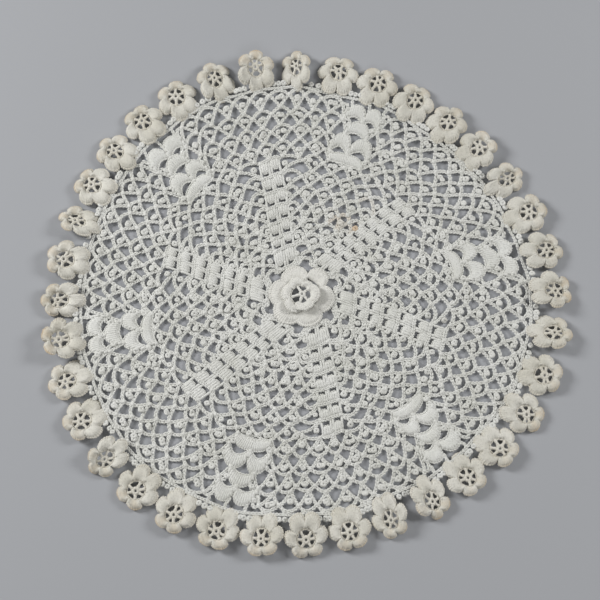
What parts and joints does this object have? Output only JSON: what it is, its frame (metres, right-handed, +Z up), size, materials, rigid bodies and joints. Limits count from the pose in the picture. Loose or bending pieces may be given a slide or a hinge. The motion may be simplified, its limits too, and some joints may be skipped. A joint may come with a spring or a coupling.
{
  "type": "lace doily",
  "caption": "Round Irish crochet lace doily lying flat: a raised petal rose in a picot net with solid arms, and small flowers joined round its edge.",
  "frame": {"origin": "middle of the doily's box, on the surface that it lies on", "axes": "+Z up, out of the cloth's face; +X and +Y across the cloth"},
  "size_m": [0.2642, 0.2642, 0.0063],
  "materials": {
    "rose_cotton": "twisted crochet cotton, matt",
    "net_cotton": "twisted crochet cotton, matt, faintly grey",
    "edge_cotton": "twisted crochet cotton, matt, yellowed at the petal tips"
  },
  "bodies": {
    "root": {"flower_01": "edge_cotton", "flower_02": "edge_cotton", "flower_03": "edge_cotton", "flower_04": "edge_cotton", "flower_05": "edge_cotton", "flower_06": "edge_cotton", "flower_07": "edge_cotton", "flower_08": "edge_cotton", "flower_09": "edge_cotton", "flower_10": "edge_cotton", "flower_11": "edge_cotton", "flower_12": "edge_cotton", "flower_13": "edge_cotton", "flower_14": "edge_cotton", "flower_15": "edge_cotton", "flower_16": "edge_cotton", "flower_17": "edge_cotton", "flower_18": "edge_cotton", "flower_19": "edge_cotton", "flower_20": "edge_cotton", "flower_21": "edge_cotton", "flower_22": "edge_cotton", "flower_23": "edge_cotton", "flower_24": "edge_cotton", "flower_25": "edge_cotton", "flower_26": "edge_cotton", "flower_27": "edge_cotton", "flower_28": "edge_cotton", "flower_29": "edge_cotton", "flower_30": "edge_cotton", "flower_31": "edge_cotton", "flower_32": "edge_cotton", "flower_33": "edge_cotton", "flower_34": "edge_cotton", "flower_35": "edge_cotton", "flower_36": "edge_cotton", "ground": "net_cotton", "rose_back_petals": "rose_cotton", "rose_eye": "rose_cotton", "rose_front_petals": "rose_cotton"}
  },
  "joints": []
}
